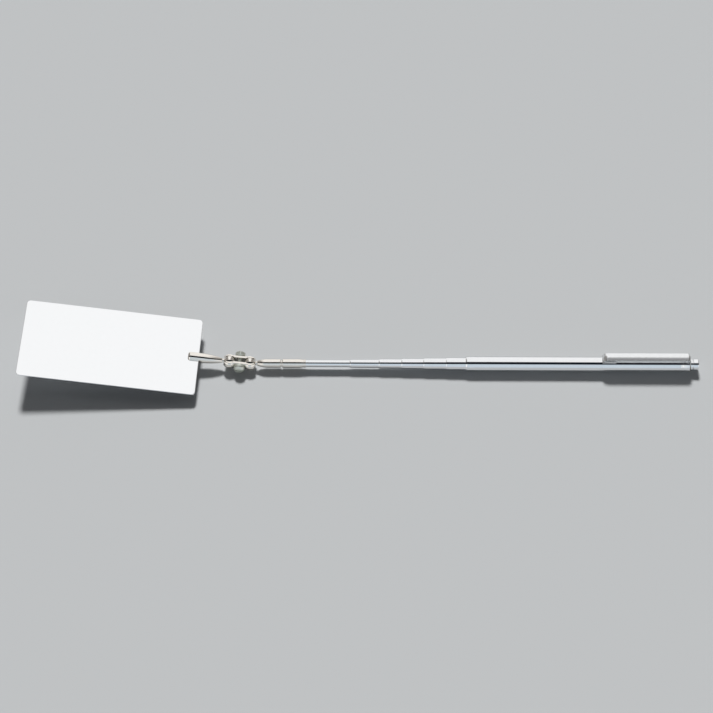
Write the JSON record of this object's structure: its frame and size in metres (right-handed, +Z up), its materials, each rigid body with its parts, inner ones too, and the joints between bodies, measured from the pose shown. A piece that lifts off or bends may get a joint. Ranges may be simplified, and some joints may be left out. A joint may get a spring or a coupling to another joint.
{
  "type": "telescoping inspection mirror",
  "caption": "Rectangular mirror on a double ball swivel at the end of a telescoping rod, with a pen-like tube handle and a pocket clip.",
  "frame": {"origin": "centre of the end cap's rear face, on the handle's axis", "axes": "+X out of the cap's rear face along the handle's axis, so the mirror lies at -X; +Z up, away from the surface that the handle lies on, with the pocket clip on top"},
  "size_m": [0.3441, 0.0494, 0.0191],
  "materials": {
    "chromed_tube": "polished",
    "chromed_sheet": "polished",
    "nickel_plate": "polished",
    "zinc_steel": "satin",
    "turned_brass": "satin",
    "polished_steel": "polished"
  },
  "bodies": {
    "handle": {"handle_tube": "chromed_tube", "end_plug": "turned_brass", "end_cap": "chromed_tube", "pocket_clip": "chromed_sheet"},
    "section_1": {"section_tube_1": "chromed_tube", "friction_sleeve_1": "turned_brass"},
    "section_2": {"section_tube_2": "chromed_tube", "friction_sleeve_2": "turned_brass"},
    "section_3": {"section_tube_3": "chromed_tube", "friction_sleeve_3": "turned_brass"},
    "section_4": {"section_tube_4": "chromed_tube", "friction_sleeve_4": "turned_brass"},
    "section_5": {"section_tube_5": "chromed_tube", "friction_sleeve_5": "turned_brass"},
    "rod": {"tip_rod": "chromed_tube", "friction_sleeve_6": "turned_brass", "ferrule": "nickel_plate"},
    "rod_swivel": {"rod_stem": "nickel_plate", "rod_ball_stud": "nickel_plate"},
    "clamp": {"clamp_plate_front": "nickel_plate", "clamp_plate_rear": "nickel_plate", "spring_washer": "zinc_steel", "clamp_nut": "zinc_steel"},
    "screw": {"clamp_screw": "zinc_steel"},
    "mirror_ball": {"mirror_ball_stud": "nickel_plate"},
    "mirror": {"mirror_stem": "nickel_plate", "mirror_plate": "polished_steel"}
  },
  "joints": [
    {"name": "section_1_slide", "type": "slide", "parent": "handle", "child": "section_1", "axis": [-1, 0, 0], "range_m": [-0.0085, 0.0899]},
    {"name": "section_2_slide", "type": "slide", "parent": "section_1", "child": "section_2", "axis": [-1, 0, 0], "range_m": [-0.01, 0.0826]},
    {"name": "section_3_slide", "type": "slide", "parent": "section_2", "child": "section_3", "axis": [-1, 0, 0], "range_m": [-0.0096, 0.0772]},
    {"name": "section_4_slide", "type": "slide", "parent": "section_3", "child": "section_4", "axis": [-1, 0, 0], "range_m": [-0.01, 0.071]},
    {"name": "section_5_slide", "type": "slide", "parent": "section_4", "child": "section_5", "axis": [-1, 0, 0], "range_m": [-0.0132, 0.062]},
    {"name": "rod_slide", "type": "slide", "parent": "section_5", "child": "rod", "axis": [-1, 0, 0], "range_m": [-0.0208, 0.0486]},
    {"name": "rod_spin", "type": "hinge", "parent": "rod", "child": "rod_swivel", "pos_m": [-0.2114, 0, 0], "axis": [-1, 0, 0], "continuous": true},
    {"name": "rod_swing", "type": "hinge", "parent": "rod_swivel", "child": "clamp", "pos_m": [-0.2278, 0, 0], "axis": [0.0523, 0.9986, 0], "range_deg": [-70, 60]},
    {"name": "screw_turn", "type": "hinge", "parent": "clamp", "child": "screw", "pos_m": [-0.23297, 0.00027, 0.00045], "axis": [-0.0523, -0.9986, 0], "range_deg": [-180, 90]},
    {"name": "mirror_swing", "type": "hinge", "parent": "clamp", "child": "mirror_ball", "pos_m": [-0.23815, 0.00054, 0.00091], "axis": [0.0523, 0.9986, 0], "range_deg": [-66.7, 63.3]},
    {"name": "mirror_spin", "type": "hinge", "parent": "mirror_ball", "child": "mirror", "pos_m": [-0.23815, 0.00054, 0.00091], "axis": [-0.9918, 0.052, 0.1167], "continuous": true}
  ]
}
